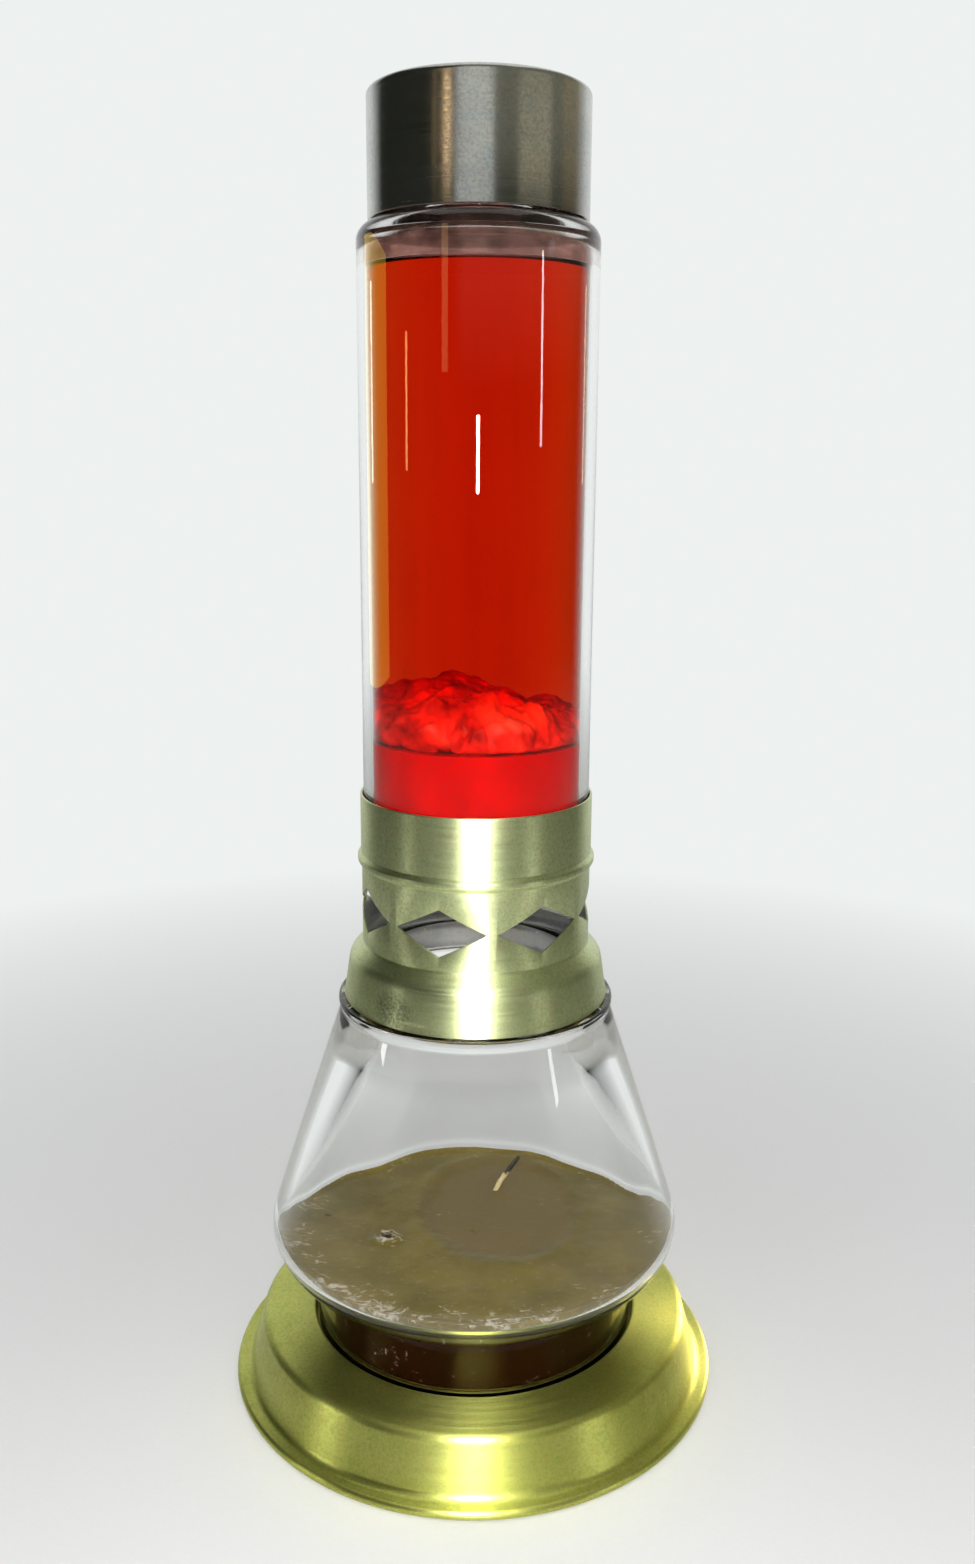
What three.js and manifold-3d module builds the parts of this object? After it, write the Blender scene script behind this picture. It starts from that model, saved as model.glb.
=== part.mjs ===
// A lava lamp heated by a candle: a spun base carries a conical glass flask with the candle in it, a vented
// collar sits on the flask's neck, and the collar holds a closed glass bottle of wax and liquid under a loose
// metal cap.
// Millimetres, +Z up. The origin is the middle of the ring that the lamp stands on; -Y is the front.
import * as THREE from "three";
import { mergeVertices } from "three/addons/utils/BufferGeometryUtils.js";
import Module from "manifold-3d";

// Clearance between pieces that touch
const GAP = 0.3;
// Facets round the large turned pieces and round the small ones
const AROUND = 36;
const AROUND_SMALL = 24;
// How far a facet of a rounded corner may lie inside its arc
const FACET_DEPTH = 0.2;

// Spun base: sheet, rolled rim, skirt and the shelf round the well
const BASE_SHEET = 1.0;
const RIM_RADIUS = 68.5;
const RIM_HEIGHT = 2.5;
const RIM_INNER = 65.9;
const SKIRT_FOOT_RADIUS = 64.3;
const SKIRT_FOOT_Z = 2.7;
const SHOULDER_RADIUS = 60.4;
const SHOULDER_Z = 17.6;
const SHELF_EDGE_Z = 18.65;
const WELL_RADIUS = 45.7;
const WELL_FLOOR_Z = 13.2;

// Flask: drum foot, bulge, cone and neck
const FOOT_RADIUS = 45;
const FOOT_Z = WELL_FLOOR_Z + GAP;
const FOOT_TOP_Z = 36.3;
const BULGE_CORNER = [60.7, 37, 10];
const CONE_TOP_RADIUS = 36.9;
const CONE_TOP_Z = 109.8;
const LEDGE_RADIUS = 37.5;
const LEDGE_FOOT_Z = 111.4;
const LEDGE_Z = 113;
const NECK_ROOT_RADIUS = 33.6;
const NECK_RADIUS = 33.2;
const FLASK_TOP_Z = 122.6;
const NECK_BORE = 28.8;
const BORE_END_Z = 97.5;
const CHAMBER_CORNER = [55.2, 41, 4];
const FOOT_BORE = 41;
const FLASK_FLOOR_Z = 15.8;
const FOOT_BORE_ROUND = 3;
const CHAMBER_FLOOR_ROUND = 2;

// Candle: level, radius there and where its underside starts to round up, wick, its bore and its tab
const CANDLE_Z = 44;
const CANDLE_RADIUS = 52.4;
const CANDLE_CORNER_RADIUS = 51.7;
const WICK = { x: 6.7, y: 26, radius: 0.8, top: 52, lean: 6.3, steps: 16, sides: 8 };
const WICK_BORE = WICK.radius + 2 * GAP;
const TAB_RADIUS = 8;
const TAB_THICKNESS = 0.4;
const TAB_TOP_Z = FLASK_FLOOR_Z + GAP + TAB_THICKNESS;

// Collar: one sheet from the skirt to the sleeve, with a bead and a band of diamond vents
const COLLAR_SHEET = 0.6;
const SKIRT_RADIUS = 35.9;
const SKIRT_Z = LEDGE_Z + GAP;
const SKIRT_TOP_RADIUS = 34.2;
const SKIRT_TOP_Z = 124.9;
const BAND_RADIUS = 30.7;
const BAND_Z = 128.6;
const BEAD_RADIUS = 31.75;
const BEAD_Z = 151.8;
const BEAD_HALF_HEIGHT = 0.7;
const BEAD_RUN = 1.05;
const SLEEVE_RADIUS = 30.9;
const COLLAR_TOP_Z = 169.2;
const VENTS = 7;
const VENT_Z = 138.9;
const VENT_HALF_HEIGHT = 6.3;
const VENT_HALF_WIDTH = 12.2;
const FIRST_VENT = THREE.MathUtils.degToRad(-17.3);
// Each vent is cut from inside the band to outside it.
const VENT_CUT_START = 0.7 * BAND_RADIUS;
const VENT_CUT_DEPTH = BAND_RADIUS / 2;

// Ring that carries the bottle, trapped in the bead
const SEAT_THICKNESS = 0.8;
const SEAT_RADIUS = BEAD_RADIUS - COLLAR_SHEET - GAP;
const SEAT_BORE = 22;

// Bottle: straight wall, floor domed on a flat ring, shoulder and neck
const BOTTLE_RADIUS = 30;
const BOTTLE_WALL = 2.3;
const BOTTLE_Z = BEAD_Z + SEAT_THICKNESS / 2 + GAP;
const BOTTLE_DOME_HEIGHT = 2;
const BOTTLE_RING_RADIUS = 26;
const BOTTLE_FLOOR_Z = 157;
const BOTTLE_SHOULDER_Z = 310.2;
const NECK_ROOT_Z = 313.4;
const SHOULDER_WALL = 3.4;
const BOTTLE_NECK_RADIUS = 12.4;
const BOTTLE_LIP_RADIUS = 13.2;
const LIP_HEIGHT = 4;
const BOTTLE_BORE = 7.5;
const BOTTLE_TOP_Z = 333.5;

// What the bottle holds
const FILL_RADIUS = BOTTLE_RADIUS - BOTTLE_WALL - GAP;
const WAX_Z = 184.3;
const LIQUID_Z = 300.5;
const LUMP_RADIUS = 24.6;
const LUMP_HEIGHT = 15;
const LUMP_SHOULDER = 8;
const LUMP_CLEARANCE = 1.03;
const COIL_RING_RADIUS = 18.5;
const COIL_RADIUS = 3;
const COIL_WIRE = 0.5;
const COIL_TURNS = 15;
const COIL_STEPS_PER_TURN = 7;

// Closure and cap
const LINER_RADIUS = 12.6;
const LINER_THICKNESS = 1;
const CROWN_RADIUS = 13.6;
const CROWN_HEIGHT = 6;
const CROWN_SHEET = 0.3;
const CROWN_FLUTES = 21;
const CROWN_FLARE = 0.5;
const CAP_RADIUS = 27.1;
const CAP_SHEET = 0.8;
const CAP_Z = 311.3;
const CAP_TOP_Z = 340.5;

const GOLD = { color: 0xb8b06a, roughness: 0.32, metalness: 1 };
const STEEL = { color: 0xb4b2ac, roughness: 0.25, metalness: 1 };
const PLATED_STEEL = { color: 0xa9a9a6, roughness: 0.4, metalness: 1 };
const CLEAR_GLASS = { color: 0xf2f5f3, roughness: 0.02, metalness: 0, transparent: true, opacity: 0.3 };
const RED_LIQUID = { color: 0xc42508, roughness: 0.05, metalness: 0, transparent: true, opacity: 0.75 };
const RED_WAX = { color: 0xd40c10, roughness: 0.45, metalness: 0 };
const CANDLE = { color: 0x6b5548, roughness: 0.4, metalness: 0 };
const WICK_COTTON = { color: 0x5a5032, roughness: 0.95, metalness: 0 };
const LINER_PLASTIC = { color: 0xd8d4c4, roughness: 0.6, metalness: 0 };

const wasm = await Module();
wasm.setup();

// A closed profile in the plane of radius and height. A corner's third number is the radius that rounds it.
function profile(corners) {
  return corners.flatMap(([radius, z, round = 0], i) => {
    const corner = new THREE.Vector2(radius, z);
    if (!round) return [corner];
    const [before, after] = [corners.at(i - 1), corners[(i + 1) % corners.length]].map((next) =>
      new THREE.Vector2(next[0], next[1]).sub(corner).normalize(),
    );
    const half = before.angleTo(after) / 2;
    const centre = before.clone().add(after).setLength(round / Math.sin(half)).add(corner);
    const start = before.clone().multiplyScalar(round / Math.tan(half)).add(corner);
    const turn = (Math.PI - 2 * half) * Math.sign(after.cross(before));
    const steps = Math.ceil(Math.abs(turn) / (2 * Math.acos(1 - FACET_DEPTH / round)));
    const stops = Array.from({ length: steps + 1 }, (_, k) => (turn * k) / steps);
    return stops.map((angle) => start.clone().rotateAround(centre, angle));
  });
}

// A turned solid. A profile that doesn't touch the axis is closed on itself.
function turned(corners, around = AROUND) {
  const points = profile(corners);
  if (points[0].x > 0) points.push(points[0].clone());
  return new THREE.LatheGeometry(points, around).rotateX(Math.PI / 2);
}

// manifold-3d's solid of a geometry, for joining and cutting
function solid(geometry) {
  const bare = geometry.clone();
  bare.deleteAttribute("normal");
  bare.deleteAttribute("uv");
  const merged = mergeVertices(bare, 1e-4);
  return new wasm.Manifold(
    new wasm.Mesh({
      numProp: 3,
      vertProperties: merged.attributes.position.array,
      triVerts: new Uint32Array(merged.index.array),
    }),
  );
}

// three.js geometry of a manifold-3d solid
function geometryOf(shape) {
  const { vertProperties, triVerts } = shape.getMesh();
  const geometry = new THREE.BufferGeometry();
  geometry.setAttribute("position", new THREE.BufferAttribute(vertProperties, 3));
  geometry.setIndex(new THREE.BufferAttribute(triVerts, 1));
  return geometry.toNonIndexed();
}

// A round bar along a curve, with flat ends
function bar(curve, radius, steps, sides) {
  const section = new THREE.Shape().setFromPoints(
    Array.from({ length: sides }, (_, k) =>
      new THREE.Vector2(radius, 0).rotateAround(new THREE.Vector2(), (2 * Math.PI * k) / sides),
    ),
  );
  return new THREE.ExtrudeGeometry(section, { extrudePath: curve, steps });
}

function baseShell() {
  const t = BASE_SHEET;
  return turned([
    [0, WELL_FLOOR_Z - t],
    [WELL_RADIUS + t, WELL_FLOOR_Z - t, 1.8],
    [WELL_RADIUS + t, SHELF_EDGE_Z - t, 0.4],
    [SHOULDER_RADIUS - t, SHOULDER_Z - t, 1.5],
    [SKIRT_FOOT_RADIUS - t, RIM_HEIGHT - t, 3],
    [RIM_INNER, RIM_HEIGHT - t],
    [RIM_INNER, 0, 0.6],
    [RIM_RADIUS, 0, 1],
    [RIM_RADIUS, RIM_HEIGHT, 1],
    [SKIRT_FOOT_RADIUS, SKIRT_FOOT_Z, 2.2],
    [SHOULDER_RADIUS, SHOULDER_Z, 2.5],
    [WELL_RADIUS, SHELF_EDGE_Z, 0.9],
    [WELL_RADIUS, WELL_FLOOR_Z, 1],
    [0, WELL_FLOOR_Z],
  ]);
}

function glassFlask() {
  return turned([
    [0, FOOT_Z],
    [FOOT_RADIUS, FOOT_Z, 2],
    [FOOT_RADIUS, FOOT_TOP_Z, 1.5],
    BULGE_CORNER,
    [CONE_TOP_RADIUS, CONE_TOP_Z, 2],
    [LEDGE_RADIUS, LEDGE_FOOT_Z, 1],
    [LEDGE_RADIUS, LEDGE_Z, 0.6],
    [NECK_ROOT_RADIUS, LEDGE_Z, 0.5],
    [NECK_RADIUS, FLASK_TOP_Z, 2],
    [NECK_BORE, FLASK_TOP_Z, 2],
    [NECK_BORE, BORE_END_Z, 25],
    CHAMBER_CORNER,
    [FOOT_BORE, CHAMBER_CORNER[1], CHAMBER_FLOOR_ROUND],
    [FOOT_BORE, FLASK_FLOOR_Z, FOOT_BORE_ROUND],
    [0, FLASK_FLOOR_Z],
  ]);
}

// The wick stands on its tab and leans towards +X and a little to the back above the wax.
function candleWick() {
  const { x, y, top, lean, steps, sides } = WICK;
  const curve = new THREE.CatmullRomCurve3([
    new THREE.Vector3(x, y, TAB_TOP_Z + GAP),
    new THREE.Vector3(x, y, (FLASK_FLOOR_Z + CANDLE_Z) / 2),
    new THREE.Vector3(x, y, CANDLE_Z - 2),
    new THREE.Vector3(x, y, CANDLE_Z),
    new THREE.Vector3(x + lean / 2, y + lean / 4, (CANDLE_Z + top) / 2),
    new THREE.Vector3(x + lean, y + lean / 2, top),
  ]);
  return bar(curve, WICK.radius, steps, sides);
}

function wickTab() {
  const tab = turned(
    [
      [0, FLASK_FLOOR_Z + GAP],
      [TAB_RADIUS, FLASK_FLOOR_Z + GAP],
      [TAB_RADIUS, TAB_TOP_Z],
      [0, TAB_TOP_Z],
    ],
    AROUND_SMALL,
  );
  return tab.translate(WICK.x, WICK.y, 0);
}

// The candle fills the flask's foot. A bore through it holds the wick, and a pocket below holds the tab.
function candleWax() {
  const [, chamberZ, chamberRound] = CHAMBER_CORNER;
  const poured = turned([
    [0, FLASK_FLOOR_Z + GAP],
    [FOOT_BORE - GAP, FLASK_FLOOR_Z + GAP, FOOT_BORE_ROUND - GAP],
    [FOOT_BORE - GAP, chamberZ + GAP, CHAMBER_FLOOR_ROUND + GAP],
    [CANDLE_CORNER_RADIUS, chamberZ + GAP, chamberRound - 2 * GAP],
    [CANDLE_RADIUS, CANDLE_Z],
    [0, CANDLE_Z],
  ]);
  const bore = turned(
    [
      [0, FLASK_FLOOR_Z],
      [TAB_RADIUS + GAP, FLASK_FLOOR_Z],
      [TAB_RADIUS + GAP, TAB_TOP_Z + GAP],
      [WICK_BORE, TAB_TOP_Z + GAP],
      [WICK_BORE, CANDLE_Z + 1],
      [0, CANDLE_Z + 1],
    ],
    AROUND_SMALL,
  );
  return geometryOf(solid(poured).subtract(solid(bore.translate(WICK.x, WICK.y, 0))));
}

// A diamond through the wall of the collar, at an angle from the front towards +X
function vent(angle) {
  const diamond = new THREE.Shape().setFromPoints([
    new THREE.Vector2(VENT_HALF_WIDTH, 0),
    new THREE.Vector2(0, VENT_HALF_HEIGHT),
    new THREE.Vector2(-VENT_HALF_WIDTH, 0),
    new THREE.Vector2(0, -VENT_HALF_HEIGHT),
  ]);
  return new THREE.ExtrudeGeometry(diamond, { depth: VENT_CUT_DEPTH, bevelEnabled: false })
    .translate(0, 0, VENT_CUT_START)
    .rotateX(Math.PI / 2)
    .translate(0, 0, VENT_Z)
    .rotateZ(angle);
}

function galleryCollar() {
  const t = COLLAR_SHEET;
  const beadEnds = BEAD_HALF_HEIGHT + BEAD_RUN;
  const sheet = turned([
    [SKIRT_RADIUS, SKIRT_Z],
    [SKIRT_TOP_RADIUS, SKIRT_TOP_Z, 5],
    [BAND_RADIUS, BAND_Z, 1],
    [BAND_RADIUS, BEAD_Z - beadEnds],
    [BEAD_RADIUS, BEAD_Z - BEAD_HALF_HEIGHT, 0.7],
    [BEAD_RADIUS, BEAD_Z + BEAD_HALF_HEIGHT, 0.7],
    [SLEEVE_RADIUS, BEAD_Z + beadEnds],
    [SLEEVE_RADIUS, COLLAR_TOP_Z],
    [SLEEVE_RADIUS - t, COLLAR_TOP_Z],
    [SLEEVE_RADIUS - t, BEAD_Z + beadEnds - t / 2],
    [BEAD_RADIUS - t, BEAD_Z + BEAD_HALF_HEIGHT - t / 2],
    [BEAD_RADIUS - t, BEAD_Z - BEAD_HALF_HEIGHT + t / 2],
    [BAND_RADIUS - t, BEAD_Z - beadEnds + t / 2],
    [BAND_RADIUS - t, BAND_Z - t / 2, 1.6],
    [SKIRT_TOP_RADIUS - 0.8 * t, SKIRT_TOP_Z - 0.7 * t, 4.4],
    [SKIRT_RADIUS - t, SKIRT_Z],
  ]);
  const vents = Array.from({ length: VENTS }, (_, k) => solid(vent(FIRST_VENT + (2 * Math.PI * k) / VENTS)));
  return geometryOf(vents.reduce((collar, hole) => collar.subtract(hole), solid(sheet)));
}

function bottleSeatRing() {
  return turned([
    [SEAT_BORE, BEAD_Z - SEAT_THICKNESS / 2],
    [SEAT_RADIUS, BEAD_Z - SEAT_THICKNESS / 2],
    [SEAT_RADIUS, BEAD_Z + SEAT_THICKNESS / 2],
    [SEAT_BORE, BEAD_Z + SEAT_THICKNESS / 2],
  ]);
}

function glassBottle() {
  const bore = BOTTLE_RADIUS - BOTTLE_WALL;
  return turned([
    [0, BOTTLE_Z + BOTTLE_DOME_HEIGHT],
    [0.77 * BOTTLE_RING_RADIUS, BOTTLE_Z + 0.7 * BOTTLE_DOME_HEIGHT, BOTTLE_RING_RADIUS],
    [BOTTLE_RING_RADIUS, BOTTLE_Z, 1],
    [BOTTLE_RADIUS, BOTTLE_Z, 3.5],
    [BOTTLE_RADIUS, BOTTLE_SHOULDER_Z, 4.5],
    [BOTTLE_NECK_RADIUS + 1, NECK_ROOT_Z, 2],
    [BOTTLE_NECK_RADIUS, BOTTLE_TOP_Z - LIP_HEIGHT],
    [BOTTLE_LIP_RADIUS, BOTTLE_TOP_Z - LIP_HEIGHT, 0.4],
    [BOTTLE_LIP_RADIUS, BOTTLE_TOP_Z, 1],
    [BOTTLE_BORE, BOTTLE_TOP_Z, 1],
    [BOTTLE_BORE, NECK_ROOT_Z - SHOULDER_WALL, 2],
    [bore, BOTTLE_SHOULDER_Z - SHOULDER_WALL, 3.6],
    [bore, BOTTLE_FLOOR_Z, 4],
    [0, BOTTLE_FLOOR_Z],
  ]);
}

// The wax pool has a groove in its underside that the coil lies in.
function lavaWax() {
  const floor = BOTTLE_FLOOR_Z + GAP;
  const grooveHalf = COIL_RADIUS + COIL_WIRE + GAP;
  return turned([
    [0, floor],
    [COIL_RING_RADIUS - grooveHalf, floor],
    [COIL_RING_RADIUS - grooveHalf, floor + 2 * grooveHalf, 2],
    [COIL_RING_RADIUS + grooveHalf, floor + 2 * grooveHalf, 2],
    [COIL_RING_RADIUS + grooveHalf, floor],
    [FILL_RADIUS, floor, 4],
    [FILL_RADIUS, WAX_Z],
    [0, WAX_Z],
  ]);
}

// Crumpled wax on the pool: a dome whose radius and height swell and dip round it. The scale enlarges it
// about its foot.
function waxLump(scale = 1, sunk = 0) {
  const foot = WAX_Z + GAP;
  const dome = turned(
    [
      [0, 0],
      [LUMP_RADIUS, 0],
      [LUMP_RADIUS, LUMP_HEIGHT, LUMP_SHOULDER],
      [0, LUMP_HEIGHT],
    ],
    AROUND_SMALL,
  );
  const place = dome.attributes.position;
  const point = new THREE.Vector3();
  for (let i = 0; i < place.count; i += 1) {
    point.fromBufferAttribute(place, i);
    const angle = Math.atan2(point.y, point.x);
    const swell = 0.92 + 0.05 * Math.cos(3 * angle + 1) + 0.03 * Math.cos(7 * angle);
    const rise = 0.8 + 0.12 * Math.cos(2 * angle - 4) + 0.08 * Math.cos(5 * angle);
    place.setXYZ(i, point.x * swell, point.y * swell, point.z * rise);
  }
  return dome.scale(scale, scale, scale).translate(0, 0, foot - sunk);
}

function lampLiquid() {
  const column = turned([
    [0, WAX_Z + GAP],
    [FILL_RADIUS, WAX_Z + GAP],
    [FILL_RADIUS, LIQUID_Z],
    [0, LIQUID_Z],
  ]);
  const space = solid(waxLump(LUMP_CLEARANCE)).add(solid(waxLump(LUMP_CLEARANCE, 1)));
  return geometryOf(solid(column).subtract(space));
}

// The coil is a spring bent into a ring, open by one turn.
class RingCoil extends THREE.Curve {
  getPoint(t, target = new THREE.Vector3()) {
    const along = t * 2 * Math.PI * (1 - 1 / COIL_TURNS);
    const turn = t * 2 * Math.PI * (COIL_TURNS - 1);
    const radius = COIL_RING_RADIUS + COIL_RADIUS * Math.cos(turn);
    const z = BOTTLE_FLOOR_Z + 2 * GAP + COIL_WIRE + COIL_RADIUS * (1 + Math.sin(turn));
    return target.set(radius * Math.cos(along), radius * Math.sin(along), z);
  }
}

function waxCoil() {
  return bar(new RingCoil(), COIL_WIRE, COIL_STEPS_PER_TURN * (COIL_TURNS - 1), 4);
}

function closureLiner() {
  const foot = BOTTLE_TOP_Z + GAP;
  return turned(
    [
      [0, foot],
      [LINER_RADIUS, foot],
      [LINER_RADIUS, foot + LINER_THICKNESS],
      [0, foot + LINER_THICKNESS],
    ],
    AROUND_SMALL,
  );
}

// The crown's skirt is fluted, more towards its lower edge.
function closureCrown() {
  const inside = BOTTLE_TOP_Z + 2 * GAP + LINER_THICKNESS;
  const top = inside + CROWN_SHEET;
  const crown = turned(
    [
      [0, inside],
      [CROWN_RADIUS, inside, 0.6],
      [CROWN_RADIUS + CROWN_FLARE, top - CROWN_HEIGHT],
      [CROWN_RADIUS + CROWN_FLARE + CROWN_SHEET, top - CROWN_HEIGHT],
      [CROWN_RADIUS + CROWN_SHEET, top, 1],
      [0, top],
    ],
    3 * CROWN_FLUTES,
  );
  const place = crown.attributes.position;
  const point = new THREE.Vector3();
  for (let i = 0; i < place.count; i += 1) {
    point.fromBufferAttribute(place, i);
    const depth = Math.max(0, inside - point.z) / CROWN_HEIGHT;
    const wave = CROWN_FLARE * depth * Math.cos(CROWN_FLUTES * Math.atan2(point.y, point.x));
    const scale = 1 + wave / Math.max(CROWN_RADIUS, Math.hypot(point.x, point.y));
    place.setXYZ(i, point.x * scale, point.y * scale, point.z);
  }
  return crown;
}

function topCap() {
  return turned([
    [0, CAP_TOP_Z - CAP_SHEET],
    [CAP_RADIUS - CAP_SHEET, CAP_TOP_Z - CAP_SHEET, 0.6],
    [CAP_RADIUS - CAP_SHEET, CAP_Z],
    [CAP_RADIUS, CAP_Z],
    [CAP_RADIUS, CAP_TOP_Z, 1.3],
    [0, CAP_TOP_Z],
  ]);
}

// Each piece, with the group that lifts off the one below it
const STACK = {
  base: [["base_shell", baseShell(), GOLD]],
  flask: [
    ["glass_flask", glassFlask(), CLEAR_GLASS],
    ["candle_wax", candleWax(), CANDLE],
    ["candle_wick", candleWick(), WICK_COTTON],
    ["wick_tab", wickTab(), PLATED_STEEL],
  ],
  collar: [
    ["gallery_collar", galleryCollar(), GOLD],
    ["bottle_seat_ring", bottleSeatRing(), PLATED_STEEL],
  ],
  bottle: [
    ["glass_bottle", glassBottle(), CLEAR_GLASS],
    ["lamp_liquid", lampLiquid(), RED_LIQUID],
    ["lava_wax", lavaWax(), RED_WAX],
    ["wax_lump", waxLump(), RED_WAX],
    ["wax_coil", waxCoil(), PLATED_STEEL],
    ["closure_liner", closureLiner(), LINER_PLASTIC],
    ["closure_crown", closureCrown(), PLATED_STEEL],
  ],
  cap: [["top_cap", topCap(), STEEL]],
};

const lamp = new THREE.Group();
for (const [group, pieces] of Object.entries(STACK)) {
  const stage = new THREE.Group();
  stage.name = group;
  for (const [name, geometry, finish] of pieces) {
    const mesh = new THREE.Mesh(geometry, new THREE.MeshStandardMaterial(finish));
    mesh.name = name;
    stage.add(mesh);
  }
  lamp.add(stage);
}

export default lamp;
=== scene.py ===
"""The looks of a candle-heated lava lamp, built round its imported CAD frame. +Z is up and -Y is the front.

Pieces are drawn in millimetres, which MM turns into Blender's metres. Materials and lights are in metres.
"""

import math

import bmesh
import bpy
from mathutils import Matrix, Vector, noise


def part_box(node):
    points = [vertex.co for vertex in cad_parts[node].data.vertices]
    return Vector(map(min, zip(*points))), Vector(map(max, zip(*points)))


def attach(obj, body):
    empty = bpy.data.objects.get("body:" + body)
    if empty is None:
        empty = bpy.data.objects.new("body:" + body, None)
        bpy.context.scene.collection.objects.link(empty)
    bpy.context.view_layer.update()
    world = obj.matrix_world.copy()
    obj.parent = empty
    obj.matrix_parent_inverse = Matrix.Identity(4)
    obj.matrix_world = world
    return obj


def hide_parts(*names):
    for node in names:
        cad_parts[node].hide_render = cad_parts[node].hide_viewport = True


MM = 0.001
TAU = 2 * math.pi

# Facets round a turned piece, and the largest turn between two points of a rounded corner
AROUND = 192
ARC_STEP = math.radians(12)

# A point nearer the axis than this lies on it, and one less than this under a level lies on that
ON_AXIS = 1e-6
ON_LEVEL = 0.01

# The gap between pieces that touch, in millimetres
GAP = 0.3

# How far a face's normal leans some way, as a share of it, before the face looks that way
LOOKS = 0.3

# Camera: the photograph's viewpoint, in millimetres and degrees, with the sensor along the frame's long side
LENS = 31.35
SENSOR = 36
PITCH = 12.985
ROLL = -0.35
CAMERA_X = 2.5
CAMERA_DISTANCE = 354.4
CAMERA_HEIGHT = 253.2

# Sheet and wall thicknesses, in millimetres
BASE_SHEET = 1.0
COLLAR_SHEET = 0.6
CAP_SHEET = 0.8
BOTTLE_WALL = 2.3

# The collar's vents: how many, the level of their middles, their half sizes, and the first one's angle from
# the front towards +X
VENTS = 7
VENT_Z = 138.9
VENT_HALF_HEIGHT = 6.3
VENT_HALF_WIDTH = 12.2
FIRST_VENT = math.radians(-17.3)

# Worn places on the collar's skirt: middle, half sizes, and how light they are beside the metal
COLLAR_WEAR = [
    ((-21, -28, 118), (7, 7, 5), 0.3),
    ((-15, -31.8, 115.6), (5, 3, 0.6), 1.5),
]

# The flask's foot, under its bulge
FOOT_TOP_Z = 36

# The candle: level, radius of its top, how far it is melted down round the wick, and the wick
CANDLE_Z = 44
CANDLE_EDGE = 52.4
CRATER = {"x": 7.2, "y": 14, "half_width": 21.5, "half_depth": 31, "sink": 1.2}
CRUMB = {"x": -24, "y": -7}
SPECK = {"x": -41, "y": 7}
WICK = {"x": 6.7, "y": 26, "radius": 0.7, "lean": 6.3}

# The wax in the bottle: the pool's level and radius, its coil of wire, and the mound that set on top of it
WAX_Z = 184.3
FILL_RADIUS = 27.4
COIL = {"ring": 18.5, "radius": 3, "wire": 0.5, "turns": 15, "steps": 24}
LUMP = {
    "radius": 23.4,
    "height": 8.5,
    "depth": 1.2,
    "power": 3,
    "crest": 6.5,
    "crest_x": -7,
    "crest_width": 15,
    "fall": 0.12,
    "lift": 0.4,
    "underside": -0.6,
}

# The folds of the mound: sizes with the height of each, their mean height, how round their creases are, the
# drift that bends them, and where in the noise they lie
FOLDS = [(12, 6.4), (5.5, 2.7), (2.4, 0.9)]
FOLDS_MEAN = 1.5
CREASE_ROUNDING = 0.008
DRIFT_SIZE = 16
DRIFT_REACH = 5
NOISE_START = Vector((37.7, 0, 0)) * 10

# Hollows in the front of the mound, which leave a gap to the glass: size in the noise, and depth
HOLLOW_SIZE = 6
HOLLOW_DEPTH = 3

# Painted light on the mound, a paler patch where it catches the light: middle, half sizes and colour
LUMP_PAINTED_LIGHT = [((9, -16, 194), (11, 14, 6), (1.0, 0.07, 0.04))]

# Flutes round the crimped crown
CROWN_FLUTES = 21

GLASS_IOR = 1.5

# How much of its reflection a glass wall keeps where liquid lies against it
WETTED = (0.05, 0.05, 0.05, 1)

# How much of the lights' rays glass and liquid let through, so that they reach what is inside
LIT_THROUGH = 0.9

# Where the flash stands and what it is turned to, in metres
FLASH = (0.004, -0.36, 0.27)
FLASH_TARGET = (0, 0, 0.15)

# Bright upright panels round the lamp, each a reflection in some pieces. Azimuth in degrees from the front
# towards +X, then lowest and highest z, width and distance from the axis in metres, brightness and colour.
WHITE = (1, 1, 1)
TUBE = ["bottle"]
STEEL = ["cap"]
GOLD = ["collar", "spun_base"]
BASE = ["spun_base"]
CONE = ["flask"]
PANELS = [
    (TUBE, 61, 0.297, 0.5, 0.03, 0.9, 14, WHITE),
    (TUBE, 119, 0.25, 0.44, 0.03, 0.9, 4, (1, 0.75, 0.35)),
    (TUBE, -69, 0.27, 0.415, 0.035, 0.9, 9, (1, 0.6, 0.22)),
    (TUBE, -118, 0.25, 0.443, 0.04, 0.9, 8, (1, 0.9, 0.75)),
    (TUBE, -112, 0.04, 0.49, 0.6, 0.9, 2.0, (1, 0.66, 0.06)),
    (TUBE, -30, 0.38, 0.56, 0.09, 0.9, 2, (1, 0.55, 0.2)),
    (STEEL, -31, 0.44, 0.66, 0.1, 0.9, 2.1, (1, 0.7, 0.38)),
    (STEEL, -44, 0.44, 0.66, 0.05, 0.9, 0.35, (1, 0.7, 0.35)),
    (STEEL, -4, 0.3, 0.9, 0.6, 0.9, 0.57, (0.95, 1, 1)),
    (STEEL, 58, 0.4, 0.66, 0.6, 0.9, 0.23, (1, 0.9, 0.65)),
    (STEEL, 108, 0.4, 0.66, 0.5, 0.9, 0.09, (1, 0.6, 0.2)),
    (GOLD, -67, 0, 0.09, 0.06, 0.35, 1.7, WHITE),
    (GOLD, 55, 0, 0.09, 0.09, 0.35, 1.5, WHITE),
    (BASE, -66, 0, 0.2, 0.08, 0.5, 3.5, WHITE),
    (BASE, 54, 0, 0.2, 0.1, 0.5, 1.1, WHITE),
    (BASE, 132, 0, 0.2, 0.1, 0.5, 30, (1, 0.8, 0.5)),
    (CONE, -75, 0.1, 0.5, 0.08, 0.9, 10, WHITE),
    (CONE, 60, 0.1, 0.5, 0.05, 0.9, 8, WHITE),
]

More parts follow.
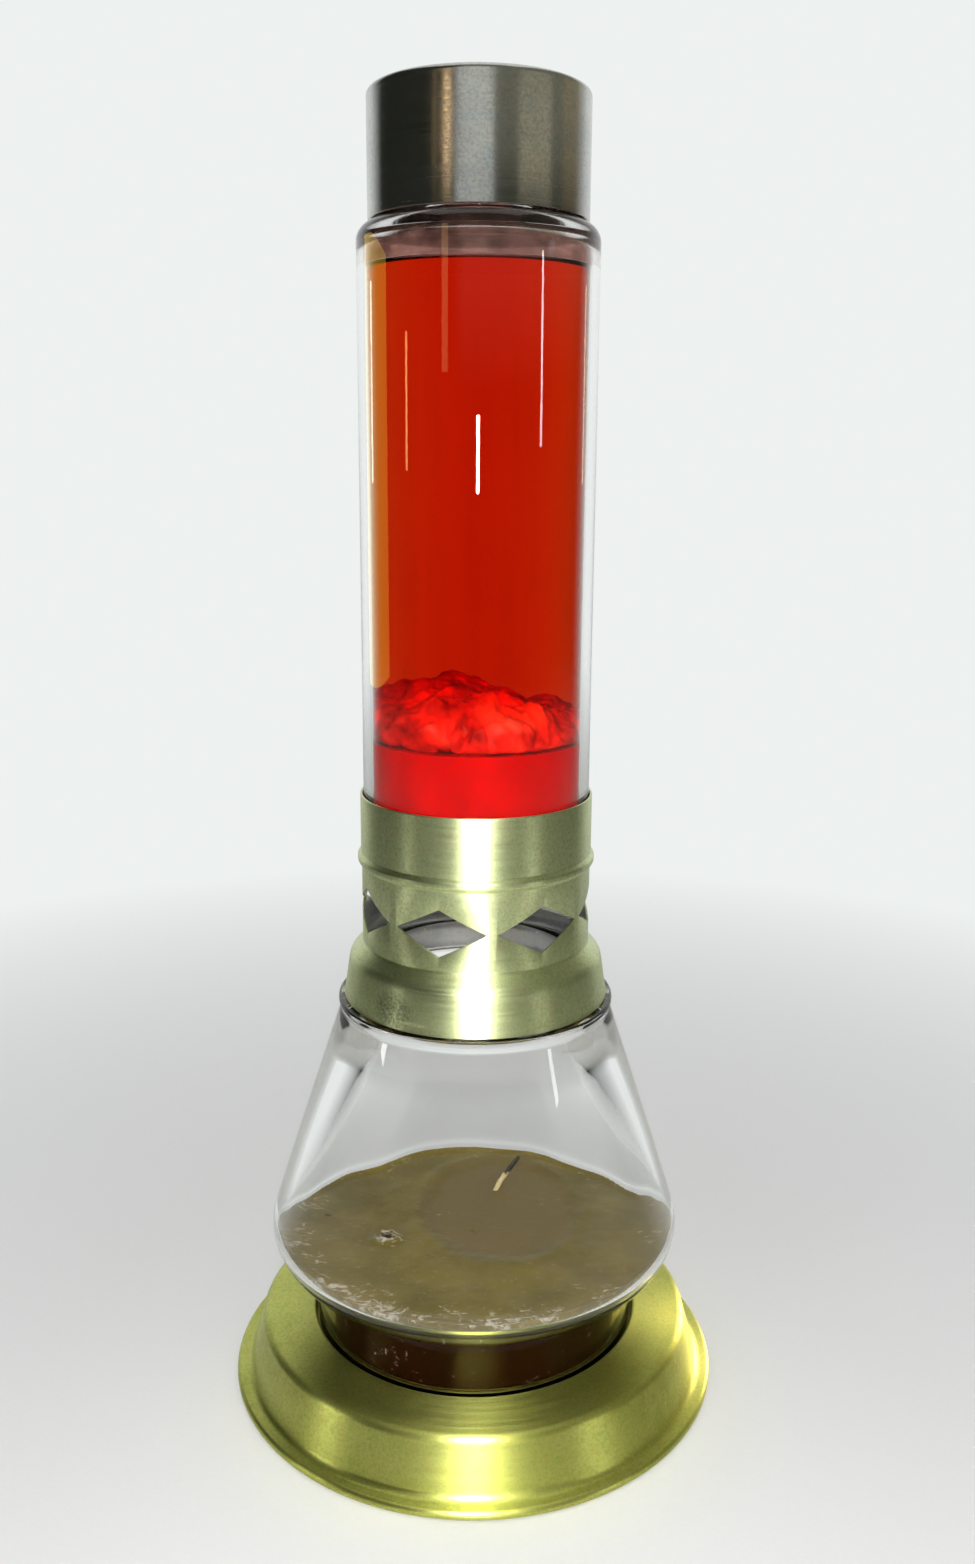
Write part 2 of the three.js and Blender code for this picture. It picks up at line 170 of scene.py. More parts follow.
# The surround: PALE seen directly and mirrored from behind, AMBIENT as light on the lamp, and mirrored DARK
# from in front and DIM from above
PALE = (0.85, 0.88, 0.87)
AMBIENT = (0.34, 0.34, 0.34)
DARK = (0.012, 0.014, 0.008)
DIM = (0.2, 0.2, 0.15)

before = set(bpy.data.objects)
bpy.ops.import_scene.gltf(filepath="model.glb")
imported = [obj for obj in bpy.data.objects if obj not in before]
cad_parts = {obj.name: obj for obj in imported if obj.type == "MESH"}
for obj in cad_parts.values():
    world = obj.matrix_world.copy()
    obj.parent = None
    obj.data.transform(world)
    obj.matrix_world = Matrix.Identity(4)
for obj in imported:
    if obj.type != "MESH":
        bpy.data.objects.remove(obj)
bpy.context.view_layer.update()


# ---------------------------------------------------------------- places read from the frame


def heights(node):
    """Lowest and highest z of a CAD node, in millimetres."""
    low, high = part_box(node)
    return low.z / MM, high.z / MM


def radius(node):
    """Outer radius of a turned CAD node, in millimetres."""
    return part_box(node)[1].x / MM


# ---------------------------------------------------------------- meshes


def outline(corners):
    """Points of a profile of (radius, z, rounding) corners in millimetres. Rounded corners become arcs."""
    points = []
    count = len(corners)
    for i, (r, z, *rounding) in enumerate(corners):
        corner = Vector((r, z))
        size = rounding[0] if rounding else 0
        if not size:
            points.append(corner)
            continue
        before = (Vector(corners[i - 1][:2]) - corner).normalized()
        after = (Vector(corners[(i + 1) % count][:2]) - corner).normalized()
        half = before.angle(after) / 2
        centre = corner + (before + after).normalized() * size / math.sin(half)
        start = corner + before * size / math.tan(half) - centre
        side = 1 if before.x * after.y < before.y * after.x else -1
        turn = (math.pi - 2 * half) * side
        steps = max(2, math.ceil(abs(turn) / ARC_STEP))
        for k in range(steps + 1):
            points.append(centre + Matrix.Rotation(turn * k / steps, 2) @ start)
    return points


def new_object(name, mesh):
    obj = bpy.data.objects.new(name, mesh)
    bpy.context.scene.collection.objects.link(obj)
    return obj


def from_bmesh(name, mesh):
    data = bpy.data.meshes.new(name)
    mesh.to_mesh(data)
    mesh.free()
    return new_object(name, data)


def smooth(obj, angle=40):
    """Smooth shading, with edges over the angle kept sharp."""
    obj.data.shade_smooth()
    obj.data.set_sharp_from_angle(angle=math.radians(angle))
    return obj


def turned(name, corners, shape=None, around=AROUND):
    """A turned solid. shape(point), in millimetres, moves a point off the true round."""
    points = outline(corners)
    mesh = bmesh.new()
    rings = []
    for r, z in points:
        if r < ON_AXIS:
            rings.append([mesh.verts.new((0, 0, z * MM))])
            continue
        ring = []
        for k in range(around):
            angle = TAU * k / around
            point = Vector((r * math.sin(angle), -r * math.cos(angle), z))
            ring.append(mesh.verts.new((shape(point) if shape else point) * MM))
        rings.append(ring)
    pairs = list(zip(rings, rings[1:]))
    if len(rings[0]) > 1:
        pairs.append((rings[-1], rings[0]))
    for low, high in pairs:
        for k in range(around):
            a, b = low[k % len(low)], low[(k + 1) % len(low)]
            c, d = high[(k + 1) % len(high)], high[k % len(high)]
            face = [v for i, v in enumerate((a, b, c, d)) if v not in (a, b, c, d)[:i]]
            if len(face) > 2:
                mesh.faces.new(face)
    bmesh.ops.recalc_face_normals(mesh, faces=mesh.faces)
    return smooth(from_bmesh(name, mesh))


def apply_modifiers(obj):
    """Makes the object's modifiers part of its mesh."""
    graph = bpy.context.evaluated_depsgraph_get()
    data = bpy.data.meshes.new_from_object(obj.evaluated_get(graph))
    obj.modifiers.clear()
    obj.data = data


def tube(name, points, radii, sides):
    """A round tube through points in millimetres, with a radius at each and closed ends."""
    mesh = bmesh.new()
    rings = []
    any_way = Vector((0.3, -1, 0.2))
    across = any_way
    for i, (point, r) in enumerate(zip(points, radii)):
        along = (points[min(i + 1, len(points) - 1)] - points[max(i - 1, 0)]).normalized()
        across = (across - along * across.dot(along)).normalized()
        other = along.cross(across)
        ring = []
        for k in range(sides):
            angle = TAU * k / sides
            place = point + (across * math.cos(angle) + other * math.sin(angle)) * r
            ring.append(mesh.verts.new(place * MM))
        rings.append(ring)
    for low, high in zip(rings, rings[1:]):
        for k in range(sides):
            mesh.faces.new((low[k], low[(k + 1) % sides], high[(k + 1) % sides], high[k]))
    mesh.faces.new(rings[0][::-1])
    mesh.faces.new(rings[-1])
    bmesh.ops.recalc_face_normals(mesh, faces=mesh.faces)
    return smooth(from_bmesh(name, mesh), 60)


def waves(point, *layers):
    """The sum of plain noises at a point, each given as a height and a size."""
    return sum(height * noise.noise(point / size) for height, size in layers)


# ---------------------------------------------------------------- material helpers


class Nodes:
    """The node tree of a material or a world, with short calls for the nodes that it is made of."""

    def __init__(self, owner):
        owner.use_nodes = True
        self.nodes = owner.node_tree.nodes
        self.links = owner.node_tree.links
        self.nodes.clear()

    def add(self, kind, inputs=None, **settings):
        """Adds a node. An input that is given a socket is linked to it, and any other is set."""
        node = self.nodes.new(kind)
        for key, value in settings.items():
            setattr(node, key, value)
        for key, value in (inputs or {}).items():
            if isinstance(value, bpy.types.NodeSocket):
                self.links.new(value, node.inputs[key])
            else:
                node.inputs[key].default_value = value
        return node

    def maths(self, operation, *values):
        return self.add("ShaderNodeMath", dict(enumerate(values)), operation=operation).outputs[0]

    def noise(self, vector, scale, detail=3.0, roughness=0.5, distortion=0.0):
        inputs = {
            "Vector": vector,
            "Scale": scale,
            "Detail": detail,
            "Roughness": roughness,
            "Distortion": distortion,
        }
        return self.add("ShaderNodeTexNoise", inputs).outputs["Fac"]

    def spread(self, value, low, high, to_low=0.0, to_high=1.0):
        """The value's range from low to high, stretched to another range and clamped."""
        inputs = {"Value": value, "From Min": low, "From Max": high, "To Min": to_low, "To Max": to_high}
        return self.add("ShaderNodeMapRange", inputs).outputs["Result"]

    def mix(self, factor, first, second):
        """A mix of two colours, each a socket or three numbers."""
        node = self.add("ShaderNodeMix", {0: factor}, data_type="RGBA")
        for key, colour in ((6, first), (7, second)):
            if isinstance(colour, bpy.types.NodeSocket):
                self.links.new(colour, node.inputs[key])
            else:
                node.inputs[key].default_value = (*colour, 1)
        return node.outputs[2]

    def multiply(self, first, second):
        return self.maths("MULTIPLY", first, second)

    def vector_maths(self, operation, *values):
        return self.add("ShaderNodeVectorMath", dict(enumerate(values)), operation=operation).outputs

    def length(self, vector):
        return self.vector_maths("LENGTH", vector)["Value"]


class Material(Nodes):
    """A material's nodes, which work in the lamp's own coordinates."""

    def __init__(self, name):
        self.material = bpy.data.materials.new(name)
        super().__init__(self.material)
        self.output = self.add("ShaderNodeOutputMaterial")
        self.place = self.add("ShaderNodeTexCoord").outputs["Object"]

    def bump(self, height, strength, distance):
        inputs = {"Height": height, "Strength": strength, "Distance": distance}
        return self.add("ShaderNodeBump", inputs).outputs["Normal"]

    def stretched(self, scale, vector=None):
        """A vector, or else the place on the lamp, multiplied by three factors."""
        return self.vector_maths("MULTIPLY", vector or self.place, scale)[0]

    def axis(self):
        """Distance from the lamp's axis, height, and the direction outwards as sockets."""
        parts = self.add("ShaderNodeSeparateXYZ", {0: self.place}).outputs
        flat = self.stretched((1, 1, 0))
        outwards = self.vector_maths("NORMALIZE", flat)[0]
        return self.length(flat), parts["Z"], outwards

    def surface(self, inputs):
        """Ends the tree in a Principled shader and gives the material."""
        shader = self.add("ShaderNodeBsdfPrincipled", inputs)
        self.links.new(shader.outputs[0], self.output.inputs["Surface"])
        return self.material


def wrap(tree, fine, round_share):
    """Coordinates that run fast along a turned profile and slowly round it, for the lines of spinning."""
    distance, height, outwards = tree.axis()
    run = tree.maths("MULTIPLY_ADD", distance, 0.6, height)
    lines = tree.add("ShaderNodeCombineXYZ", {"Z": tree.multiply(run, fine)}).outputs[0]
    slow = tree.stretched((round_share, round_share, 0), outwards)
    return tree.vector_maths("ADD", lines, slow)[0]


def spot(tree, middle, halves):
    """1 inside an ellipsoid of half sizes round a point, in millimetres, fading to 0 outside it."""
    shifted = tree.vector_maths("SUBTRACT", tree.place, Vector(middle) * MM)[0]
    reach = tree.length(tree.stretched([1 / (half * MM) for half in halves], shifted))
    return tree.spread(reach, 0.6, 1.0, 1.0, 0.0)


def scaled(colour, *shares):
    """A colour with its three parts multiplied, by one share or by three."""
    if len(shares) == 1:
        shares *= 3
    return [part * share for part, share in zip(colour, shares)]


def spun_metal(name, colour, shade, roughness, anisotropy, stain, grain, wear=()):
    """Satin spun metal: fine lines round the axis, cloudy stains, a sparkling grain and a few scratches."""
    tree = Material(name)
    lines = tree.noise(wrap(tree, 2600, 1.2), 1.0, 4.0, 0.7)
    broad = tree.noise(wrap(tree, 500, 0.6), 1.0, 2.0, 0.5)
    cloud = tree.noise(tree.place, 28, 5.0, 0.62)
    grit = tree.noise(tree.place, 1300, 3.0, 0.7)
    tint = tree.noise(tree.place, 260, 4.0, 0.7)
    scratch = tree.noise(tree.stretched((900, 900, 60)), 1.0, 1.0, 0.4, 1.5)
    scratched = tree.multiply(tree.spread(scratch, 0.69, 0.74), tree.spread(cloud, 0.52, 0.66))
    tone = tree.mix(tree.spread(cloud, 0.36, 0.7), colour, shade)
    tone = tree.mix(tree.spread(tint, 0.52, 0.7, 0, 0.5), tone, scaled(shade, 0.85, 1, 1.15))
    tone = tree.mix(tree.spread(tint, 0.48, 0.3, 0, 0.5), tone, scaled(shade, 1.1, 0.92, 1.05))
    tone = tree.mix(tree.multiply(tree.spread(grit, 0.45, 0.7), grain), tone, scaled(shade, 0.6))
    tone = tree.mix(tree.multiply(tree.spread(cloud, 0.62, 0.78), stain), tone, scaled(shade, 0.45))
    tone = tree.mix(tree.multiply(scratched, 0.4), tone, scaled(colour, 1.25))
    for middle, halves, light in wear:
        worn = tree.multiply(spot(tree, middle, halves), tree.spread(grit, 0.4, 0.6, 0.15, 0.8))
        tone = tree.mix(worn, tone, scaled(colour, light))
    line_rough = tree.spread(lines, 0.3, 0.7, -0.05, 0.06)
    cloud_rough = tree.spread(cloud, 0.3, 0.75, -0.03, 0.1)
    grit_rough = tree.spread(grit, 0.35, 0.65, -0.06 * grain, 0.08 * grain)
    rough = tree.maths("ADD", line_rough, cloud_rough)
    rough = tree.maths("ADD", rough, grit_rough)
    rough = tree.maths("ADD", rough, roughness)
    height = tree.maths("MULTIPLY_ADD", broad, 0.6, lines)
    height = tree.maths("MULTIPLY_ADD", grit, 1.4 * grain, height)
    return tree.surface(
        {
            "Base Color": tone,
            "Metallic": 1.0,
            "Roughness": rough,
            "Anisotropic": anisotropy,
            "Anisotropic Rotation": 0.25,
            "Tangent": tree.add("ShaderNodeTangent", direction_type="RADIAL", axis="Z").outputs[0],
            "Normal": tree.bump(height, 0.35, 0.00002),
        }
    )


def clear_glass(name, colour, ripple, gloss=1.0):
    """Pressed glass: clear, with the faint ripples of the mould. Gloss scales its reflections."""
    tree = Material(name)
    wave = tree.noise(tree.stretched((1, 1, 0.35)), 55, 2.0, 0.4)
    shader = tree.add(
        "ShaderNodeBsdfPrincipled",
        {
            "Base Color": (*colour, 1),
            "Roughness": 0.0,
            "IOR": GLASS_IOR,
            "Specular Tint": (gloss, gloss, gloss, 1),
            "Transmission Weight": 1.0,
            "Normal": tree.bump(wave, 1.0, ripple),
        },
    )
    return shadow_free(tree, shader)


def wet_glass():
    """The bottle's inside under the liquid: it hardly reflects, and has faint upright streaks of wax."""
    tree = Material("wet_glass")
    streaks = tree.noise(tree.stretched((1, 1, 0.06)), 150, 3.0, 0.55)
    cloud = tree.noise(tree.place, 35, 2.0)
    film = tree.multiply(tree.spread(streaks, 0.4, 0.66), tree.spread(cloud, 0.35, 0.6, 0.4, 1.0))
    shader = tree.add(
        "ShaderNodeBsdfPrincipled",
        {
            "Base Color": tree.mix(film, (0.99, 0.99, 0.985), (0.84, 0.8, 0.74)),
            "Roughness": 0.0,
            "IOR": GLASS_IOR,
            "Specular Tint": WETTED,
            "Transmission Weight": 1.0,
        },
    )
    return shadow_free(tree, shader)


def stained_glass():
    """The bottle's inside over the liquid: a sheer film of red-brown residue, thicker in places."""
    tree = Material("stained_glass")
    cloud = tree.noise(tree.place, 160, 4.0, 0.6)
    shader = tree.add(
        "ShaderNodeBsdfPrincipled",
        {
            "Base Color": tree.mix(tree.spread(cloud, 0.35, 0.65), (0.12, 0.05, 0.04), (0.4, 0.2, 0.17)),
            "Roughness": 0.1,
            "IOR": GLASS_IOR,
            "Transmission Weight": 0.88,
        },
    )
    return shadow_free(tree, shader)


def shadow_free(tree, shader):
    """Ends the tree in the shader, made nearly transparent to shadow rays, and gives the material."""
    shadow = tree.multiply(tree.add("ShaderNodeLightPath").outputs["Is Shadow Ray"], LIT_THROUGH)
    clear = tree.add("ShaderNodeBsdfTransparent")
    mixed = tree.add("ShaderNodeMixShader", {0: shadow, 1: shader.outputs[0], 2: clear.outputs[0]})
    tree.links.new(mixed.outputs[0], tree.output.inputs["Surface"])
    return tree.material


def red_liquid():
    """Clear orange-red liquid, deeper in colour the further light goes through it."""
    tree = Material("red_liquid")
    swirl = tree.noise(tree.stretched((1, 1, 0.2)), 30, 2.0)
    shader = tree.add(
        "ShaderNodeBsdfPrincipled",
        {
            "Base Color": (1, 1, 1, 1),
            "Roughness": 0.0,
            "IOR": 1.36,
            "Specular Tint": WETTED,
            "Transmission Weight": 1.0,
            "Normal": tree.bump(swirl, 1.0, 0.00002),
        },
    )
    absorb = tree.add("ShaderNodeVolumeAbsorption", {"Color": (0.945, 0.47, 0.07, 1), "Density": 160.0})
    tree.links.new(absorb.outputs[0], tree.output.inputs["Volume"])
    return shadow_free(tree, shader)


def round_mask(tree, x, y, half_width, half_depth, soft):
    """1 inside a wavy, soft-edged oval round a point of the candle's top, in millimetres, and 0 outside."""
    shifted = tree.vector_maths("SUBTRACT", tree.place, (x * MM, y * MM, 0))[0]
    reach = tree.length(tree.stretched((1 / (half_width * MM), 1 / (half_depth * MM), 0), shifted))
    wobble = tree.maths("MULTIPLY_ADD", tree.noise(tree.place, 160, 3.0), 0.3, reach)
    mean_edge = 1.15
    return tree.spread(wobble, mean_edge - soft, mean_edge + soft, 1.0, 0.0)


def candle_wax(name, against_glass):
    """Olive-brown candle wax: even where it melted last, with pale flecks and scrapes towards the edge.

    It is painted near black in the foot, as shade from the flask's bulge and the base's well round it, and
    where it lies against glass it hardly shines.
    """
    tree = Material(name)
    distance, level, _ = tree.axis()
    cloud = tree.noise(tree.place, 45, 5.0, 0.6)
    fine = tree.noise(tree.place, 700, 3.0, 0.6)
    fleck = tree.noise(tree.stretched((330, 520, 330)), 1.0, 4.0, 0.75, 0.8)
    patch = tree.noise(tree.place, 95, 2.0)
    half_width, half_depth = CRATER["half_width"], CRATER["half_depth"]
    melted = round_mask(tree, CRATER["x"], CRATER["y"], half_width, half_depth, 0.1)
    rim = round_mask(tree, CRATER["x"], CRATER["y"], 1.06 * half_width, 1.06 * half_depth, 0.06)
    crumb = round_mask(tree, CRUMB["x"], CRUMB["y"], 4.2, 4.2, 0.3)
    # The crumb's middle, where painted shade goes.
    hollow = round_mask(tree, CRUMB["x"], CRUMB["y"], 1.5, 1.5, 0.3)
    speck = round_mask(tree, SPECK["x"], SPECK["y"], 1, 1, 0.2)
    parts = tree.add("ShaderNodeSeparateXYZ", {0: tree.place}).outputs
    front_left = tree.maths("MULTIPLY_ADD", parts["X"], 0.7, parts["Y"])
    edge = tree.spread(tree.maths("MULTIPLY_ADD", cloud, 0.016, distance), 0.046, 0.057)
    edge = tree.multiply(edge, tree.spread(front_left, -0.05, 0.01, 1.0, 0.4))
    edge = tree.multiply(edge, tree.spread(patch, 0.4, 0.56, 0.35, 1.0))
    edge = tree.maths("MAXIMUM", edge, tree.multiply(crumb, 1.2))
    pale = tree.spread(tree.maths("MULTIPLY_ADD", edge, 0.2, fleck), 0.67, 0.77)
    tone = tree.mix(tree.spread(cloud, 0.35, 0.65), (0.085, 0.064, 0.011), (0.14, 0.104, 0.024))
    tone = tree.mix(tree.multiply(tree.spread(fine, 0.6, 0.75), 0.3), tone, (0.34, 0.3, 0.2))
    tone = tree.mix(tree.multiply(rim, 0.3), tone, (0.045, 0.033, 0.008))
    tone = tree.mix(tree.multiply(melted, 0.75), tone, (0.118, 0.08, 0.026))
    # Painted shade: the wax turns near black in the foot, where the flask's bulge and the base's well shade
    # it.
    tone = tree.mix(tree.spread(level, 0.034, 0.043), (0.012, 0.004, 0.001), tone)
    tone = tree.mix(tree.multiply(pale, 0.75), tone, (0.46, 0.42, 0.36))
    # Painted shade: the crumb's hollow is painted near black, and the speck is a real black speck.
    tone = tree.mix(tree.maths("MAXIMUM", hollow, speck), tone, (0.02, 0.012, 0.005))
    rough = tree.maths("ADD", tree.spread(fine, 0.3, 0.7, 0.28, 0.42), tree.multiply(pale, 0.3))
    height = tree.maths("MULTIPLY_ADD", pale, 0.8, fine)
    return tree.surface(
        {
            "Base Color": tone,
            "Roughness": rough,
            "IOR": 1.04 if against_glass else 1.2,
            "Subsurface Weight": 0.12,
            "Subsurface Radius": (0.003, 0.002, 0.001),
            "Subsurface Scale": 1.0,
            "Normal": tree.bump(height, 0.05 if against_glass else 0.5, 0.00015),
        }
    )


def wax(name, deep, light, sheen_roughness, scale, sheen_ior, painted_light=()):
    """Set wax: mottled, with paler patches of painted light. The liquid round it leaves it a weak sheen."""
    tree = Material(name)
    cloud = tree.noise(tree.place, scale, 5.0, 0.6)
    fine = tree.noise(tree.place, scale * 12, 3.0, 0.6)
    tone = tree.mix(tree.spread(cloud, 0.35, 0.68), deep, light)
    # Each patch is painted light: the wax is made paler there, as if lit.
    for middle, halves, colour in painted_light:
        tone = tree.mix(tree.multiply(spot(tree, middle, halves), 0.8), tone, colour)
    rough = tree.spread(fine, 0.3, 0.7, sheen_roughness - 0.08, sheen_roughness + 0.12)
    height = tree.maths("MULTIPLY_ADD", fine, 0.3, cloud)
    return tree.surface(
        {
            "Base Color": tone,
            "Roughness": rough,
            "IOR": sheen_ior,
            "Subsurface Weight": 0.3,
            "Subsurface Radius": (0.004, 0.001, 0.0006),
            "Subsurface Scale": 1.0,
            "Normal": tree.bump(height, 0.5, 0.0003),
        }
    )


# ---------------------------------------------------------------- pieces


def finished(piece, material, body, slot, *nodes):
    """Gives a piece its material, its body and the CAD nodes that it stands for. The slot argument is not
    used.
    """
    piece.data.materials.clear()
    piece.data.materials.append(material)
    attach(piece, body)
    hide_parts(*nodes)
    return piece


def spun_base():
    """The spun base: one sheet, with a well in its top for the flask's foot."""
    low, high = heights("base_shell")
    rim = radius("base_shell")
    t = BASE_SHEET
    well_floor = heights("glass_flask")[0] - GAP
    return turned(
        "spun_base",
        [
            (0, well_floor - t),
            (46.7, well_floor - t, 1.8),
            (46.7, high - t, 0.5),
            (59.4, 16.6, 1.5),
            (63.2, 1.6, 2.5),
            (65.9, 1.5, 0.3),
            (65.9, low, 0.7),
            (rim, low, 1.2),
            (rim, 2.5, 1.2),
            (64.3, 2.8, 2.4),
            (60.4, 17.6, 2.6),
            (45.7, high, 0.9),
            (45.7, well_floor, 1.0),
            (0, well_floor),
        ],
    )


def collar():
    """The sheet collar: a skirt on the flask's neck, a band of vents, a bead, and a sleeve for the bottle."""
    low, high = heights("gallery_collar")
    skirt = radius("gallery_collar")
    t = COLLAR_SHEET
    body = turned(
        "collar",
        [
            (skirt, low, 0.15),
            (34.2, 124.9, 5),
            (30.7, 128.6, 1.2),
            (30.7, 150.05, 0.5),
            (31.75, 151.1, 0.8),
            (31.75, 152.5, 0.8),
            (30.9, 153.5, 0.5),
            (30.9, high, 0.2),
            (30.9 - t, high, 0.2),
            (30.9 - t, 153.2, 0.3),
            (31.75 - t, 152.2, 0.3),
            (31.75 - t, 151.4, 0.3),
            (30.7 - t, 150.35, 0.3),
            (30.7 - t, 128.3, 1.6),
            (33.72, 124.48, 4.4),
            (skirt - t, low, 0.15),
        ],
        around=224,
    )
    for k in range(VENTS):
        cut(body, diamond(FIRST_VENT + TAU * k / VENTS))
    bevel = body.modifiers.new("edges", "BEVEL")
    bevel.width = 0.08 * MM
    bevel.segments = 2
    bevel.limit_method = "ANGLE"
    bevel.angle_limit = math.radians(60)
    apply_modifiers(body)
    return smooth(body)


def diamond(angle):
    """A diamond prism through the collar's wall, at an angle from the front towards +X."""
    mesh = bmesh.new()
    out = Vector((math.sin(angle), -math.cos(angle), 0))
    across = Vector((math.cos(angle), math.sin(angle), 0))
    corners = [(VENT_HALF_WIDTH, 0), (0, VENT_HALF_HEIGHT), (-VENT_HALF_WIDTH, 0), (0, -VENT_HALF_HEIGHT)]
    ends = []
    for depth in (20, 40):
        places = [out * depth + across * x + Vector((0, 0, VENT_Z + z)) for x, z in corners]
        ends.append([mesh.verts.new(place * MM) for place in places])
    for k in range(4):
        mesh.faces.new((ends[0][k], ends[0][(k + 1) % 4], ends[1][(k + 1) % 4], ends[1][k]))
    mesh.faces.new(ends[0])
    mesh.faces.new(ends[1])
    bmesh.ops.recalc_face_normals(mesh, faces=mesh.faces)
    return from_bmesh("cutter", mesh)


def cut(obj, cutter):
    """Cuts one object's shape out of another's, and deletes the cutter."""
    modifier = obj.modifiers.new("cut", "BOOLEAN")
    modifier.operation = "DIFFERENCE"
    modifier.solver = "EXACT"
    modifier.object = cutter
    apply_modifiers(obj)
    bpy.data.objects.remove(cutter)


def flask():
    """The conical flask on its drum-shaped foot, with the chamber that the candle is poured into."""
    low, high = heights("glass_flask")
    floor_top = heights("candle_wax")[0] - GAP

    ripple_low, ripple_high = 47, 112

    def inner_ripple(point):
        """The mould leaves the inside of the cone slightly out of round."""
        r = math.hypot(point.x, point.y)
        mid_wall = 57.2 - 0.36 * (point.z - 46)
        if not ripple_low < point.z < ripple_high or r > mid_wall:
            return point
        angle = math.atan2(point.x, -point.y)
        fade = min(1, (point.z - ripple_low) / 12, (ripple_high - point.z) / 10)
        wave = 0.22 * math.cos(3 * angle + 0.7)
        wave += 0.14 * math.cos(7 * angle + 2)
        wave += 0.06 * math.cos(13 * angle)
        scale = 1 + fade * wave / r
        return Vector((point.x * scale, point.y * scale, point.z))

    return turned(
        "flask",
        [
            (0, low),
            (45, low, 2),
            (45, 36.3, 1.5),
            (60.7, 37, 10),
            (36.9, 109.8, 2),
            (37.5, 111.4, 1),
            (37.5, 113, 0.7),
            (33.6, 113, 0.5),
            (33.2, high, 2),
            (28.8, high, 2),
            (28.8, 97.5, 25),
            (55.2, 41, 4),
            (41, 41, 2),
            (41, floor_top, 3),
            (0, floor_top),
        ],
        inner_ripple,
    )


def candle():
    """The candle: melted down in an oval round the wick, with a crumb of wax and ripples where it set."""
    low = heights("candle_wax")[0]
    ring_gap = 0.8
    rings = [(CANDLE_EDGE - ring_gap * k, CANDLE_Z) for k in range(1, int(CANDLE_EDGE / ring_gap))]

    def surface(point):
        if point.z < CANDLE_Z - ON_LEVEL:
            return point
        aside = (point.x - CRATER["x"]) / CRATER["half_width"]
        behind = (point.y - CRATER["y"]) / CRATER["half_depth"]
        oval = math.hypot(aside, behind)
        wobble = waves(point, (0.05, 9), (0.03, 3))
        melted = min(1, max(0, (1.08 + wobble - oval) / 0.2))
        melted = melted * melted * (3 - 2 * melted)
        rim = math.exp(-(((oval + wobble - 1.12) / 0.07) ** 2))
        ripple = waves(point, (0.35, 14), (0.12, 5), (0.05, 1.6))
        height = -CRATER["sink"] * melted * (1 - 0.35 * oval) + 0.25 * rim
        height += (ripple - 0.2) * (1 - 0.75 * melted)
        creep = max(0, math.hypot(point.x, point.y) - CANDLE_EDGE + 2) / 2
        height += 1.1 * creep**2
        away = math.hypot(point.x - CRUMB["x"], point.y - CRUMB["y"])
        grain = 1 + 0.5 * noise.noise(point / 0.9) + 0.4 * noise.noise(point / 2.2)
        crumb = math.exp(-((away / 3.4) ** 4)) - 1.2 * math.exp(-((away / 1.5) ** 2))
        return point + Vector((0, 0, height + 2.2 * crumb * grain))

    return turned(
        "candle",
        [
            (0, low),
            (40.7, low, 2.7),
            (40.7, 41.3, 2.3),
            (51.7, 41.3, 3.4),
            (CANDLE_EDGE, CANDLE_Z),
            *rings,
            (0, CANDLE_Z),
        ],
        surface,
        around=288,
    )


def wick():
    """A cotton wick set in the candle, bent over where it leaves the wax, narrower where it has burnt."""
    x, y, lean = WICK["x"], WICK["y"], WICK["lean"]
    low, high = heights("candle_wick")
    bend = CANDLE_Z - 1.6
    points = []
    radii = []
    steps = 40
    for k in range(steps + 1):
        z = low + (high - low) * k / steps
        above = max(0, z - bend) / (high - bend)
        jog = 0.16 * noise.noise(Vector((7, 3, z / 1.3)))
        points.append(Vector((x + lean * above**1.15 + jog, y + 0.5 * lean * above + jog, z)))
        burnt = max(0, above - 0.45)
        radii.append(WICK["radius"] * (1 - 0.55 * burnt + 0.12 * noise.noise(Vector((1, 2, z / 0.8)))))
    return tube("wick", points, radii, sides=20)


def tab():
    """The wick's round metal foot, under the wax."""
    low, high = heights("wick_tab")
    middle = Vector((WICK["x"], WICK["y"], 0))
    return turned(
        "tab",
        [(0, low), (8, low, 0.1), (8, high, 0.1), (0, high)],
        lambda point: point + middle,
        around=96,
    )


def bottle():
    """The bottle: a bottom pushed up in the middle, a straight wall, a shoulder and a crown neck."""
    low, high = heights("glass_bottle")
    outer = radius("glass_bottle")
    bore = outer - BOTTLE_WALL
    floor_top = 157
    return turned(
        "bottle",
        [
            (0, low + 2),
            (20, low + 1.4, 20),
            (26, low, 1),
            (outer, low, 3.5),
            (outer, 310.2, 4.5),
            (13.4, 313.4, 2),
            (12.4, high - 4, 0.3),
            (13.2, high - 4, 0.4),
            (13.2, high, 1),
            (7.5, high, 1),
            (7.5, 309.9, 2),
            (bore, 307, 3.6),
            (bore, heights("lamp_liquid")[1]),
            (bore, floor_top, 4),
            (0, floor_top),
        ],
    )


def seat_ring():
    """The flat ring in the collar that carries the bottle."""
    low, high = heights("bottle_seat_ring")
    edge = radius("bottle_seat_ring")
    return turned("seat_ring", [(22, low, 0.2), (edge, low, 0.2), (edge, high, 0.2), (22, high, 0.2)])


def liquid():
    """The liquid, with its foot inside the wax and a meniscus round its top."""
    low, high = heights("lamp_liquid")
    edge = FILL_RADIUS - 0.1
    foot = low - 1.4
    return turned(
        "liquid",
        [
            (0, foot),
            (edge, foot, 0.2),
            (edge, high, 0.1),
            (edge - 0.25, high, 0.1),
            (edge - 0.9, high - 0.9, 1.5),
            (0, high - 1),
        ],
    )


